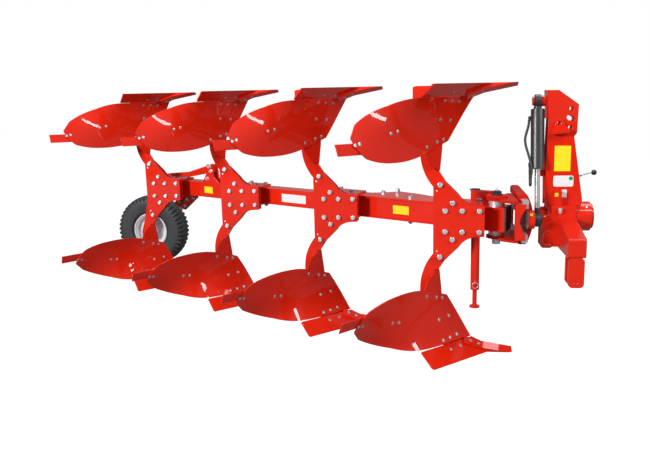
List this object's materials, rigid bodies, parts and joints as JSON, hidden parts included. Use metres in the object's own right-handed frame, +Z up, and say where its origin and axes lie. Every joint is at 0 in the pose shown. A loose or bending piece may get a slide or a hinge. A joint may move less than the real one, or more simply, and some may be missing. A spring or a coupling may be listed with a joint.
{
  "type": "mounted reversible moldboard plough",
  "caption": "Mounted reversible moldboard plough with paired bodies on a slanted beam, turnover headstock and rear depth wheel.",
  "frame": {"origin": "midway between the two lower hitch points, on the line of their pins", "axes": "+X forward along the turnover axis and the direction of travel, +Y left, +Z up"},
  "size_m": [4.0135, 2.9227, 1.64],
  "materials": {
    "red_paint": "satin",
    "black_paint": "satin",
    "white_paint": "satin",
    "zinc": "satin",
    "chrome_rod": "polished",
    "tyre_rubber": "matte",
    "black_knob": "gloss"
  },
  "bodies": {
    "headstock": {"tower_plates": "red_paint", "tower_web": "red_paint", "cross_member": "red_paint", "turnover_tube": "red_paint", "hitch_lugs": "red_paint", "cylinder_mount": "red_paint", "tower_ledge": "red_paint", "lock_block": "red_paint", "lock_handle": "black_knob", "turnover_stops": "red_paint"},
    "yoke": {"turnover_shaft": "red_paint", "slide_rails": "red_paint", "crank_boss": "red_paint"},
    "barrel": {"cylinder_barrel": "black_paint", "cylinder_hose": "tyre_rubber"},
    "rod": {"cylinder_rod": "chrome_rod", "rod_eye": "black_paint"},
    "carriage": {"slide_bars": "zinc", "slide_plate": "red_paint", "swing_clevis": "red_paint", "swing_pin": "zinc", "pin_nut": "black_paint"},
    "beam": {"front_beam": "red_paint", "rear_beam": "red_paint", "splice_plates": "red_paint", "beam_cap": "black_paint", "side_bar": "red_paint", "near_leg_plates": "red_paint", "far_leg_plates": "red_paint", "plate_spacers": "red_paint", "front_unit_brackets": "red_paint", "rear_unit_brackets": "red_paint", "lower_legs": "red_paint", "lower_mouldboards": "red_paint", "lower_shins": "red_paint", "lower_tail_bars": "red_paint", "lower_shares": "red_paint", "lower_points": "red_paint", "lower_frogs": "red_paint", "lower_landsides": "red_paint", "lower_stays": "red_paint", "upper_legs": "red_paint", "upper_mouldboards": "red_paint", "upper_shins": "red_paint", "upper_tail_bars": "red_paint", "upper_shares": "red_paint", "upper_points": "red_paint", "upper_frogs": "red_paint", "upper_landsides": "red_paint", "upper_stays": "red_paint", "stand_tube": "red_paint", "wheel_carrier": "red_paint", "wheel_frame": "red_paint"},
    "stand": {"stand_leg": "red_paint"},
    "wheel_arm": {"wheel_arm": "red_paint", "wheel_spindle": "zinc"},
    "wheel": {"wheel_rim": "white_paint", "wheel_tyre": "tyre_rubber"}
  },
  "joints": [
    {"name": "turnover", "type": "hinge", "parent": "headstock", "child": "yoke", "pos_m": [0, 0, 0.272], "axis": [1, 0, 0], "range_deg": [-180, 0]},
    {"name": "cylinder_swing", "type": "hinge", "parent": "headstock", "child": "barrel", "pos_m": [-0.147, 0, 0.977], "axis": [1, 0, 0], "range_deg": [0, 20.2]},
    {"name": "rod_slide", "type": "slide", "parent": "barrel", "child": "rod", "axis": [0, -0.1746, -0.9846], "range_m": [-0.221, 0]},
    {"name": "front_furrow_slide", "type": "slide", "parent": "yoke", "child": "carriage", "axis": [0, 1, 0], "range_m": [-0.1, 0.08]},
    {"name": "beam_swing", "type": "hinge", "parent": "carriage", "child": "beam", "pos_m": [-0.38, -0.05, 0.272], "axis": [0, 0, 1], "range_deg": [-6, 6]},
    {"name": "stand_slide", "type": "slide", "parent": "beam", "child": "stand", "axis": [0, 0, -1], "range_m": [-0.09, 0.254]},
    {"name": "wheel_arm_swing", "type": "hinge", "parent": "beam", "child": "wheel_arm", "pos_m": [-3.35799, 1.84453, 0.272], "axis": [0.0663, 0.9978, 0], "range_deg": [0, 152]},
    {"name": "wheel_spin", "type": "hinge", "parent": "wheel_arm", "child": "wheel", "pos_m": [-3.46711, 1.98206, -0.211], "axis": [0.0663, 0.9978, 0], "continuous": true}
  ],
  "couplings": [
    {"joint": "cylinder_swing", "follows": "turnover", "ratio": -0.1117},
    {"joint": "rod_slide", "follows": "turnover", "m_per_rad": 0.07}
  ]
}
